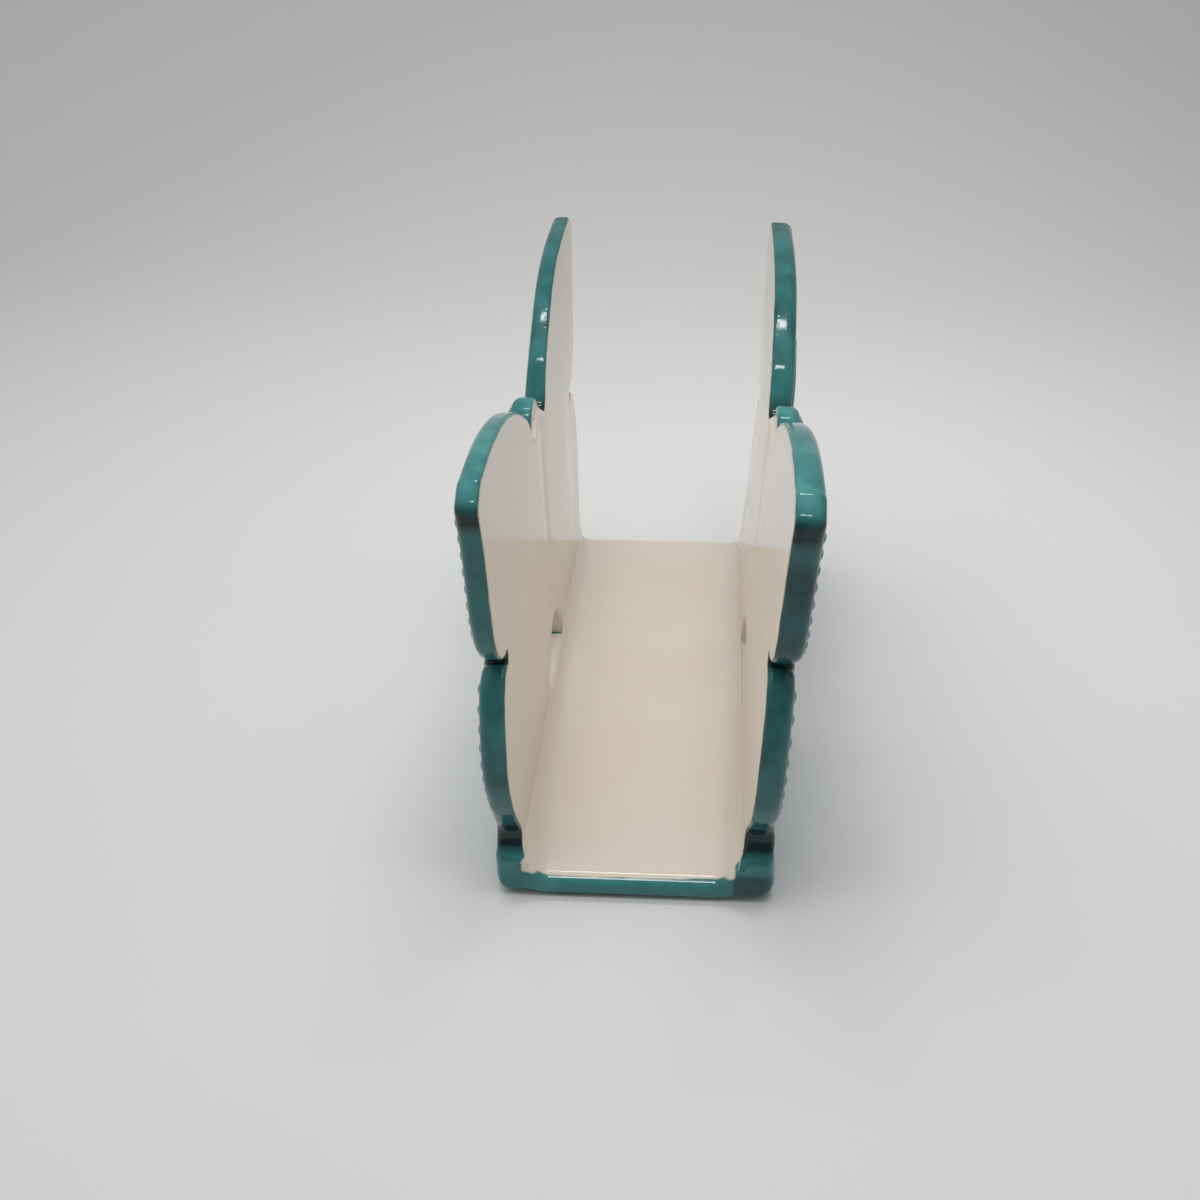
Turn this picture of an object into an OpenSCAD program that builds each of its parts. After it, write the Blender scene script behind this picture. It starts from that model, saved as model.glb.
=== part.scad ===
// Butterfly napkin holder in glazed earthenware
// X runs across the napkin gap, Y along the base, Z up from the table.
// Each side wall is drawn flat, as outward (w), along the base (y) and up the wall (v),
// and is then leaned outward and set on the base tray.

/* [Base tray] */
// Length of the base tray along the napkins
base_length = 148; // [120:1:180]
// Thickness of the tray floor, without the foot
base_thickness = 8; // [6:0.5:12]
// Rounding of the tray's ends and corners
end_round = 3.2; // [2:0.1:3.8]
// Ledge of the tray outside each wall
side_ledge = 0.9; // [0.4:0.1:2]
// Radius of the cove between the floor and each wall
cove_radius = 2.6; // [1.5:0.1:5]

/* [Foot ring] */
// Height of the unglazed foot ring
foot_height = 1.2; // [0.6:0.1:3]
// Width of the foot ring's band
foot_band = 5; // [3:0.5:9]
// Distance of the foot ring inside the tray's outline
foot_inset = 4; // [3.9:0.1:8]

/* [Walls] */
// Gap between the walls at the floor
napkin_gap = 50; // [40:0.5:80]
// Thickness of each wall
wall_thickness = 5.5; // [4.5:0.1:9]
// Height of each wall above the floor
wall_height = 102.4; // [80:1:140]
// Length of each wall from wing tip to wing tip
wing_span = 165; // [140:1:200]
// Outward lean of each wall in degrees
wall_lean = 2.1; // [0:0.1:6]
// Rounding of the rim on its inner edge
rim_round_inner = 1.2; // [0.6:0.1:1.8]
// Rounding of the rim on its outer edge
rim_round_outer = 1.8; // [0.8:0.1:2.2]
// Rounding of the forewing tips
tip_round = 3; // [2.4:0.1:6]
// Radius of the notch between forewing and hindwing
notch_radius = 1.4; // [0.8:0.1:2.5]
// Distance of the hindwings' lower ends from the start of the tray's end rounding
root_setback = 2.8; // [0.6:0.1:6]

/* [Tail gap] */
// Width of the gap between the hindwings at the tray
tail_gap_width = 31; // [18:1:40]
// Height of that gap above the tray's curb
tail_gap_height = 16; // [10:0.5:20]

/* [Head and body] */
// Diameter of the head
head_diameter = 15.5; // [11:0.5:17]
// Height of the head above the wall's outer face
head_rise = 2.6; // [1.5:0.1:4]
// Diameter of the thorax
thorax_diameter = 12; // [8:0.5:14]
// Height of the body above the wall's outer face
body_rise = 3.6; // [2:0.1:4]
// Number of rings on the abdomen
abdomen_rings = 6; // [3:1:9]
// Depth of the grooves between the rings
ring_groove = 0.5; // [0.2:0.1:0.8]

/* [Wing relief] */
// Distance between the centres of two border beads
bead_pitch = 4; // [3.6:0.1:8]
// Width of one bead where it meets the wall
bead_width = 3.2; // [2:0.1:3.4]
// Height of a bead above the wall's outer face
bead_rise = 0.7; // [0.4:0.1:1.2]
// Width of a wing vein at its root
vein_width = 3; // [1.5:0.1:4]
// Height of a wing vein above the wall's outer face
vein_rise = 0.9; // [0.4:0.1:1.5]

/* [Hidden] */

// Glaze and clay colours
ivory_glaze = [0.80, 0.74, 0.66];
teal_glaze = [0.17, 0.52, 0.48];
deep_teal_glaze = [0.12, 0.42, 0.40];
light_teal_glaze = [0.33, 0.64, 0.60];
bare_clay = [0.85, 0.80, 0.72];

// Steps of the curves: of a spline between two of its points, and of each kind of arc
spline_steps = 3;
round_steps = 3;
end_steps = 5;
notch_steps = 5;
tip_steps = 4;
crown_steps = 5;

// Heights above the table
floor_z = foot_height + base_thickness;
curb_z = floor_z + cove_radius;

// Where the wall's two faces meet the top of the tray's curb
wall_inner_x = napkin_gap / 2 + cove_radius * tan(wall_lean);
wall_outer_x = wall_inner_x + wall_thickness / cos(wall_lean);
tray_side_x = wall_outer_x + side_ledge;
tray_end_y = base_length / 2;

half_span = wing_span / 2;

// Overrun of every cut, and the reach of the block that trims the relief to the wall
overrun = wall_thickness;
trim_reach = wing_span;

// Wing outline as shares of half_span and of wall_height above the floor. Below the lobe of
// the hindwing the first share runs from the wing's root on the curb to the lobe's reach.
hindwing_low_shares = [[0.12, 0.063], [0.42, 0.129], [0.80, 0.204]];
hindwing_lobe_share = [0.966, 0.287];
hindwing_high_shares = [[0.958, 0.369], [0.923, 0.447], [0.877, 0.495], [0.825, 0.508]];
notch_centre_share = [0.770, 0.518];
forewing_edge_shares = [
    [0.843, 0.535], [0.899, 0.560], [0.946, 0.611], [0.970, 0.683],
    [0.976, 0.761], [0.981, 0.849], [1.000, 0.952]
];
forewing_top_shares = [
    [0.934, 0.998], [0.845, 1.000], [0.741, 0.997], [0.622, 0.983],
    [0.499, 0.957], [0.372, 0.914], [0.259, 0.861], [0.158, 0.807]
];
head_centre_share = 0.721;

// Crown of the wall behind the head, and the notch between it and the forewing
head_centre = head_centre_share * wall_height;
crown_radius = head_diameter / 2 + rim_round_outer;
head_notch_angle = 26;
head_notch = [0, head_centre] + crown_radius * [cos(head_notch_angle), sin(head_notch_angle)];

// Hindwing's lower end, where it stands on the curb just inside the tray's rounded end
hindwing_root_y = tray_end_y - end_round - root_setback;

// Body: from under the head down to the top of the tail gap
thorax_top_share = 0.690;
thorax_foot_share = 0.545;
tail_gap_top = cove_radius + tail_gap_height;
abdomen_clearance = 1.5;
waist_share = 0.45;
thorax_steps = 10;
ring_steps = 4;

// Veins: root, bend and end of each as shares of half_span and wall_height
forewing_vein_shares = [
    [[0.125, 0.692], [0.205, 0.795], [0.345, 0.855]],
    [[0.160, 0.661], [0.320, 0.785], [0.560, 0.900]],
    [[0.178, 0.626], [0.430, 0.735], [0.760, 0.920]],
    [[0.182, 0.588], [0.500, 0.670], [0.875, 0.840]],
    [[0.172, 0.550], [0.500, 0.590], [0.875, 0.715]]
];
hindwing_vein_shares = [
    [[0.160, 0.480], [0.450, 0.485], [0.735, 0.430]],
    [[0.168, 0.440], [0.500, 0.430], [0.850, 0.345]],
    [[0.165, 0.400], [0.490, 0.360], [0.840, 0.225]],
    [[0.150, 0.360], [0.420, 0.280], [0.720, 0.110]],
    [[0.130, 0.322], [0.260, 0.225], [0.450, 0.080]]
];
vein_steps = 6;
vein_end_share = 0.55;
vein_section_shares = [
    [1, 0], [0.87, 0.5], [0.5, 0.87], [0, 1], [-0.5, 0.87], [-0.87, 0.5], [-1, 0]
];

// Bead rows keep their centres this far inside the rim and from the row's two ends
bead_inset = rim_round_outer + bead_width / 2;
bead_row_margin = bead_pitch / 2;
bead_radius = (pow(bead_width / 2, 2) + pow(bead_rise, 2)) / (2 * bead_rise);

function unit(v) = v / norm(v);
function last(list) = list[len(list) - 1];
function mirrored(points) = [for (i = [len(points) - 1 : -1 : 0]) [-points[i].x, points[i].y]];

// Place in the wall's plane of a pair of shares
function on_wall(share) = [share.x * half_span, share.y * wall_height];

// Catmull-Rom spline through a list of points, without its last point
function spline_point(a, b, c, d, t) =
    0.5 * (2 * b + (c - a) * t + (2 * a - 5 * b + 4 * c - d) * t * t
        + (3 * b - a - 3 * c + d) * t * t * t);
function spline(points) = [
    for (i = [0 : len(points) - 2])
        let (
            b = points[i],
            c = points[i + 1],
            a = i == 0 ? 2 * b - c : points[i - 1],
            d = i == len(points) - 2 ? 2 * c - b : points[i + 2]
        )
        for (k = [0 : spline_steps - 1])
            spline_point(a, b, c, d, k / spline_steps)
];

// Arc about a centre, from one angle to another
function arc(centre, radius, from, to, steps) = [
    for (k = [0 : steps])
        let (angle = from + (to - from) * k / steps)
        centre + radius * [cos(angle), sin(angle)]
];

// Length along a path up to each of its points
function running_length(path) = [
    for (i = 0, s = 0; i < len(path);
         s = s + (i + 1 < len(path) ? norm(path[i + 1] - path[i]) : 0), i = i + 1) s
];
// Point of a path at a given length along it
function point_along(path, run, s) =
    let (i = max([for (k = [0 : len(run) - 2]) if (run[k] <= s) k]))
    path[i] + (path[i + 1] - path[i]) * (s - run[i]) / (run[i + 1] - run[i]);

// Direction into the material at each point of a closed outline that runs anticlockwise,
// long enough at a corner for both of its edges to move in by 1
function inward(outline) = [
    for (i = [0 : len(outline) - 1])
        let (
            n = len(outline),
            before = unit(outline[i] - outline[(i + n - 1) % n]),
            after = unit(outline[(i + 1) % n] - outline[i]),
            a = [-before.y, before.x],
            b = [-after.y, after.x]
        )
        (a + b) / max(1 + a * b, 0.5)
];

// Lower edge of the hindwing from the curb to the notch
hindwing_lobe = on_wall(hindwing_lobe_share);
notch_centre = on_wall(notch_centre_share);
function hindwing_edge() = spline(concat(
    [[hindwing_root_y, cove_radius]],
    [for (share = hindwing_low_shares)
        [hindwing_root_y + share.x * (hindwing_lobe.x - hindwing_root_y),
         share.y * wall_height]],
    [hindwing_lobe],
    [for (share = hindwing_high_shares) on_wall(share)],
    [notch_centre - [0, notch_radius]]
));

// Outer edge of the forewing from the notch to the tip
tip_start = on_wall(last(forewing_edge_shares));
function forewing_edge() = spline(concat(
    [notch_centre + [0, notch_radius]],
    [for (share = forewing_edge_shares) on_wall(share)]
));

// Rounded tip, and the top edge down to the notch beside the head
tip_centre = tip_start - [tip_round, 0];
tip_end_angle = 62;
function forewing_tip() = arc(tip_centre, tip_round, 0, tip_end_angle, tip_steps);
function forewing_top() = spline(concat(
    [for (share = forewing_top_shares) on_wall(share)],
    [head_notch]
));

// Crown of the wall behind the head
function head_crown() = arc([0, head_centre], crown_radius, head_notch_angle, 90, crown_steps);

// Side of the pointed arch under the tail, from its top down to its foot on the curb
tail_gap_side_shares = [[0, 1], [0.28, 0.90], [0.58, 0.73], [0.84, 0.50], [0.97, 0.25], [1, 0]];
function tail_gap_side() = spline([
    for (share = tail_gap_side_shares)
        [share.x * tail_gap_width / 2, cove_radius + share.y * tail_gap_height]
]);
tail_gap_end = [tail_gap_width / 2, cove_radius];

// Whole outline of a wall, anticlockwise from the far half's lower end
function half_outline() = concat(
    hindwing_edge(),
    arc(notch_centre, notch_radius, 270, 90, notch_steps),
    [for (i = [1 : len(forewing_edge()) - 1]) forewing_edge()[i]],
    forewing_tip(),
    forewing_top(),
    head_crown()
);
function without_last(list) = [for (i = [0 : len(list) - 2]) list[i]];
function tail_gap() =
    let (side = concat(tail_gap_side(), [tail_gap_end]))
    concat(mirrored(side), [for (i = [1 : len(side) - 1]) side[i]]);
function wall_outline() =
    let (half = half_outline())
    concat(half, mirrored(without_last(half)), tail_gap());

// Rim section as steps of [outward, inset], from the inner face to the outer one
rim_section = concat(
    arc([rim_round_inner, rim_round_inner], rim_round_inner, 180, 270, round_steps),
    arc([wall_thickness - rim_round_outer, rim_round_outer], rim_round_outer,
        270, 360, round_steps)
);

// Ring of a wall at one such step. Its lowest points are set level with the curb's top.
function wall_ring(outline, normals, step) =
    let (curb_v = (cove_radius + step.x * sin(wall_lean)) / cos(wall_lean))
    [for (i = [0 : len(outline) - 1])
        let (p = outline[i] + normals[i] * step.y)
        [step.x, p.x, outline[i].y > cove_radius ? p.y : curb_v]];

// Triangles that fill a flat closed ring of points, found by clipping one convex corner
// after another; ids are the ring's point numbers, anticlockwise in the plane of flat
function turn(a, b, c) = (b.x - a.x) * (c.y - a.y) - (b.y - a.y) * (c.x - a.x);
function clear_corner(flat, ids, k) =
    let (
        n = len(ids),
        before = (k + n - 1) % n,
        after = (k + 1) % n,
        a = flat[ids[before]],
        b = flat[ids[k]],
        c = flat[ids[after]]
    )
    turn(a, b, c) > 0 && len([
        for (j = [0 : n - 1])
            if (j != before && j != k && j != after)
                let (q = flat[ids[j]])
                if (turn(a, b, q) >= 0 && turn(b, c, q) >= 0 && turn(c, a, q) >= 0) j
    ]) == 0;
function fill(flat, ids, k = 0, misses = 0, done = []) =
    len(ids) < 3 || misses > len(ids)
        ? done
        : let (n = len(ids), i = k % n)
          clear_corner(flat, ids, i)
              ? fill(flat, [for (j = [0 : n - 1]) if (j != i) ids[j]], i + 1, 0,
                     concat(done, [[ids[(i + n - 1) % n], ids[i], ids[(i + 1) % n]]]))
              : fill(flat, ids, i + 1, misses + 1, done);

// Solid between the rings of a closed outline whose points share an order in every ring.
// Each ring is given with its flat form, in which it runs anticlockwise.
module skin(rings, first_flat, last_flat) {
    n = len(rings[0]);
    count = len(rings);
    sides = [
        for (r = [0 : count - 2])
            for (i = [0 : n - 1])
                let (j = (i + 1) % n)
                each [
                    [r * n + i, r * n + j, (r + 1) * n + j],
                    [r * n + i, (r + 1) * n + j, (r + 1) * n + i]
                ]
    ];
    ids = [for (i = [0 : n - 1]) i];
    first_cap = [for (face = fill(first_flat, ids)) [face[2], face[1], face[0]]];
    last_cap = [for (face = fill(last_flat, ids)) face + (count - 1) * n * [1, 1, 1]];
    polyhedron(
        points = [for (ring = rings) each ring],
        faces = [for (face = concat(sides, first_cap, last_cap)) [face[2], face[1], face[0]]]
    );
}

function flat(ring) = [for (p = ring) [p.y, p.z]];

// Places what is drawn in the wall's own plane on the right wall or the left one
module on_right_wall() {
    translate([napkin_gap / 2, 0, floor_z])
        rotate([0, wall_lean, 0])
            children();
}
module on_side(side) {
    if (side == "right") on_right_wall() children();
    else mirror([1, 0, 0]) on_right_wall() children();
}
module on_wing(side, end) {
    on_side(side)
        if (end == "far") children();
        else mirror([0, 1, 0]) children();
}

// Block on the wall's side of its outer face, which trims the relief flush with it
module inside_outer_face() {
    translate([wall_thickness - trim_reach, -trim_reach, -trim_reach])
        cube([trim_reach, 2 * trim_reach, 2 * trim_reach]);
}

// Base tray: one section of floor, coves and curbs, drawn in at each end by its rounding
// Half of the section from its underside round to the floor
least_round = side_ledge / 6;
function tray_half_section(inset) =
    let (
        low_round = max(end_round - inset, least_round),
        top_round = max(side_ledge - inset, least_round),
        cove = cove_radius + inset
    )
    concat(
        arc([tray_side_x - inset - low_round, foot_height + inset + low_round],
            low_round, -90, 0, round_steps),
        arc([tray_side_x - inset - top_round, curb_z - inset - top_round],
            top_round, 0, 90, round_steps),
        arc([wall_inner_x - cove_radius, curb_z], cove, -asin(inset / cove), -90, round_steps)
    );
function tray_section(inset) =
    let (half = tray_half_section(inset))
    concat(half, mirrored(half));
// Stations along the tray as [y, inset], from its far end to its near one
end_profile = arc([tray_end_y - end_round, end_round], end_round, 0, -90, end_steps);
tray_stations = concat(
    end_profile,
    [for (i = [end_steps : -1 : 0]) [-end_profile[i].x, end_profile[i].y]]
);
module base_tray() {
    end_face = tray_section(end_round);
    color(ivory_glaze)
        skin(
            [for (station = tray_stations)
                [for (p = tray_section(station.y)) [p.x, station.x, p.y]]],
            end_face,
            end_face
        );
}

// Foot ring: the unglazed band that the holder stands on
module foot_plate(inset, height) {
    corner = max(end_round, foot_band) - foot_band / 2;
    size_x = 2 * (tray_side_x - inset - corner);
    size_y = 2 * (tray_end_y - inset - corner);
    linear_extrude(height)
        offset(r = corner)
            square([size_x, size_y], center = true);
}
module foot_ring() {
    color(bare_clay)
        difference() {
            foot_plate(foot_inset, foot_height);
            translate([0, 0, -overrun])
                foot_plate(foot_inset + foot_band, foot_height + 2 * overrun);
        }
}

// Wall: both wings, the crown behind the head and the gap under the tail in one slab
module wall(side) {
    outline = wall_outline();
    normals = inward(outline);
    rings = [for (step = rim_section) wall_ring(outline, normals, step)];
    color(teal_glaze)
        on_side(side)
            skin(rings, flat(rings[0]), flat(last(rings)));
}

// Head: a low dome on the outer face, in front of the crown
module head(side) {
    head_radius = head_diameter / 2;
    dome_radius = (pow(head_radius, 2) + pow(head_rise, 2)) / (2 * head_rise);
    color(light_teal_glaze)
        on_side(side)
            difference() {
                translate([wall_thickness + head_rise - dome_radius, 0, head_centre])
                    sphere(r = dome_radius, $fn = 96);
                inside_outer_face();
            }
}

// Body: thorax and ringed abdomen, a turned spindle trimmed flush with the outer face
module body(side) {
    thorax_radius = thorax_diameter / 2;
    axis_sink = thorax_radius - body_rise;
    thorax_top = min(thorax_top_share * wall_height, head_centre - head_diameter / 2);
    thorax_foot = thorax_foot_share * wall_height;
    abdomen_foot = tail_gap_top + abdomen_clearance;
    ring_height = (thorax_foot - abdomen_foot) / abdomen_rings;
    waist_rise = body_rise * waist_share;
    thorax = [
        for (k = [1 : thorax_steps])
            let (angle = 180 * k / thorax_steps)
            [axis_sink + waist_rise + (body_rise - waist_rise) * sin(angle),
             thorax_foot + (thorax_top - waist_rise - thorax_foot) * k / thorax_steps]
    ];
    abdomen = [
        for (i = [0 : abdomen_rings - 1])
            for (k = [0 : ring_steps - 1])
                let (
                    part = (i + k / ring_steps) / abdomen_rings,
                    rise = waist_rise + (body_rise - waist_rise) * sin(180 * pow(part, 0.7))
                )
                [axis_sink + rise - ring_groove * (1 - sin(180 * k / ring_steps)),
                 abdomen_foot + ring_height * (i + k / ring_steps)]
    ];
    color(light_teal_glaze)
        on_side(side)
            difference() {
                translate([wall_thickness - axis_sink, 0, 0])
                    rotate_extrude($fn = 64)
                        polygon(concat(
                            [[0, abdomen_foot]],
                            abdomen,
                            thorax,
                            [[axis_sink, thorax_top], [0, thorax_top]]
                        ));
                inside_outer_face();
            }
}

// Wing vein: a low ridge along a bent path, tapering from its root to its end
function bend_point(path, t) =
    path[0] * pow(1 - t, 2) + 2 * path[1] * t * (1 - t) + path[2] * pow(t, 2);
module vein(shares) {
    path = [for (share = shares) on_wall(share)];
    rings = [
        for (k = [0 : vein_steps])
            let (
                t = k / vein_steps,
                p = bend_point(path, t),
                along = unit(2 * (path[1] - path[0]) * (1 - t) + 2 * (path[2] - path[1]) * t),
                across = [-along.y, along.x],
                taper = (1 - (1 - vein_end_share) * t) * (k == vein_steps ? vein_end_share : 1)
            )
            [for (share = vein_section_shares)
                let (q = p + across * share.x * taper * vein_width / 2)
                [wall_thickness + share.y * taper * vein_rise, q.x, q.y]]
    ];
    skin(rings, vein_section_shares, vein_section_shares);
}
module forewing_veins(side, end) {
    color(light_teal_glaze)
        on_wing(side, end)
            for (shares = forewing_vein_shares) vein(shares);
}
module hindwing_veins(side, end) {
    color(light_teal_glaze)
        on_wing(side, end)
            for (shares = hindwing_vein_shares) vein(shares);
}

// Border beads: a row of low domes along the inside of a wing's rim
module bead_row(edge, from, to) {
    drawn_in = [
        for (i = [1 : len(edge) - 2])
            let (along = unit(edge[i + 1] - edge[i - 1]))
            edge[i] + bead_inset * [-along.y, along.x]
    ];
    run = running_length(drawn_in);
    count = floor((last(run) - from - to) / bead_pitch);
    for (k = [0 : count])
        let (p = point_along(drawn_in, run, from + k * bead_pitch))
        translate([wall_thickness + bead_rise - bead_radius, p.x, p.y])
            sphere(r = bead_radius, $fn = 48);
}
module forewing_beads(side, end) {
    color(deep_teal_glaze)
        on_wing(side, end)
            difference() {
                bead_row(forewing_edge(), bead_row_margin, bead_row_margin);
                inside_outer_face();
            }
}
module hindwing_beads(side, end) {
    color(deep_teal_glaze)
        on_wing(side, end)
            difference() {
                bead_row(hindwing_edge(), 2 * bead_pitch, bead_row_margin);
                inside_outer_face();
            }
}

base_tray();
foot_ring();
wall("left");  // left_wall
wall("right");  // right_wall
head("left");  // left_head
head("right");  // right_head
body("left");  // left_body
body("right");  // right_body
forewing_veins("left", "near");  // left_near_forewing_veins
forewing_veins("left", "far");  // left_far_forewing_veins
forewing_veins("right", "near");  // right_near_forewing_veins
forewing_veins("right", "far");  // right_far_forewing_veins
hindwing_veins("left", "near");  // left_near_hindwing_veins
hindwing_veins("left", "far");  // left_far_hindwing_veins
hindwing_veins("right", "near");  // right_near_hindwing_veins
hindwing_veins("right", "far");  // right_far_hindwing_veins
forewing_beads("left", "near");  // left_near_forewing_beads
forewing_beads("left", "far");  // left_far_forewing_beads
forewing_beads("right", "near");  // right_near_forewing_beads
forewing_beads("right", "far");  // right_far_forewing_beads
hindwing_beads("left", "near");  // left_near_hindwing_beads
hindwing_beads("left", "far");  // left_far_hindwing_beads
hindwing_beads("right", "near");  // right_near_hindwing_beads
hindwing_beads("right", "far");  // right_far_hindwing_beads
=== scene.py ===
import math

import bpy
import numpy as np
from mathutils import Matrix, Vector
from mathutils.kdtree import KDTree


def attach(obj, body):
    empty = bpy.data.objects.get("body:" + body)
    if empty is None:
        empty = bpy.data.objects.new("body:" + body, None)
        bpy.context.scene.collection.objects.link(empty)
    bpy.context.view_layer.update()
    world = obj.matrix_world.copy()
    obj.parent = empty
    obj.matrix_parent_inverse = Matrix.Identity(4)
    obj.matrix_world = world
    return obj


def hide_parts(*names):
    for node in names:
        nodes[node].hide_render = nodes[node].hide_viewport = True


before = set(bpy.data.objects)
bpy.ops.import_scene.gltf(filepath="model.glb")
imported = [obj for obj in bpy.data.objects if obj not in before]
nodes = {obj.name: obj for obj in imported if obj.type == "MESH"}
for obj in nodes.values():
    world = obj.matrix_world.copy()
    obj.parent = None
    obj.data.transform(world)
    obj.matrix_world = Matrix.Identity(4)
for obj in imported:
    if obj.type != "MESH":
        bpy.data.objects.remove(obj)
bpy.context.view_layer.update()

mm = 0.001

# Camera: it looks down the napkin gap from above its near end, as the photograph does.
# The view was worked out from the outline of the walls and the base.
camera_place = (10.68 * mm, -284.77 * mm, 226.41 * mm)
camera_yaw = math.radians(4.80)
camera_pitch = math.radians(33.97)
camera_roll = math.radians(-0.10)
camera_lens_mm = 39.0
camera_sensor_mm = 36.0
nearest_seen = 10 * mm

camera_data = bpy.data.cameras.new("camera")
camera_data.lens = camera_lens_mm
camera_data.sensor_width = camera_sensor_mm
camera_data.clip_start = nearest_seen
camera = bpy.data.objects.new("camera", camera_data)
bpy.context.scene.collection.objects.link(camera)
ahead = Vector((-math.sin(camera_yaw) * math.cos(camera_pitch),
                math.cos(camera_yaw) * math.cos(camera_pitch),
                -math.sin(camera_pitch)))
level = Vector((math.cos(camera_yaw), math.sin(camera_yaw), 0.0))
upright = level.cross(ahead)
right = math.cos(camera_roll) * level + math.sin(camera_roll) * upright
up = math.cos(camera_roll) * upright - math.sin(camera_roll) * level
camera.matrix_world = Matrix.Translation(camera_place) @ Matrix(
    (right, up, -ahead)).transposed().to_4x4()
bpy.context.scene.camera = camera


# Walls: two upright butterfly-shaped slabs of earthenware, pressed in a mould, leaned a little
# outward and joined to the tray at their feet. The left one is drawn from the right one.

# Their glaze is a coloured glass, brushed on and melted in the kiln. It is glossy, breaks thin
# and light over crests, and pools dark in hollows and at feet. Painted shade and painted light
# are also added to the teal in some hollows, at the feet and on shaded rims.
colour_a, colour_b, colour_out = 6, 7, 2    # a Mix node's sockets for colours


def linear(hex_colour):
    channels = [int(hex_colour[i:i + 2], 16) / 255 for i in (1, 3, 5)]
    return [c / 12.92 if c <= 0.04045 else ((c + 0.055) / 1.055) ** 2.4 for c in channels] + [1.0]


def add_node(tree, kind, links=(), **settings):
    """Adds a node, sets its properties and sockets, and links sockets of it to others."""
    made = tree.nodes.new(kind)
    for name, value in settings.items():
        setattr(made, name, value)
    for socket, value in links:
        target = made.inputs[socket]
        if isinstance(value, bpy.types.NodeSocket):
            tree.links.new(value, target)
        else:
            target.default_value = value
    return made


def new_material(name):
    material = bpy.data.materials.new(name)
    material.use_nodes = True
    material.node_tree.nodes.clear()
    return material


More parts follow.
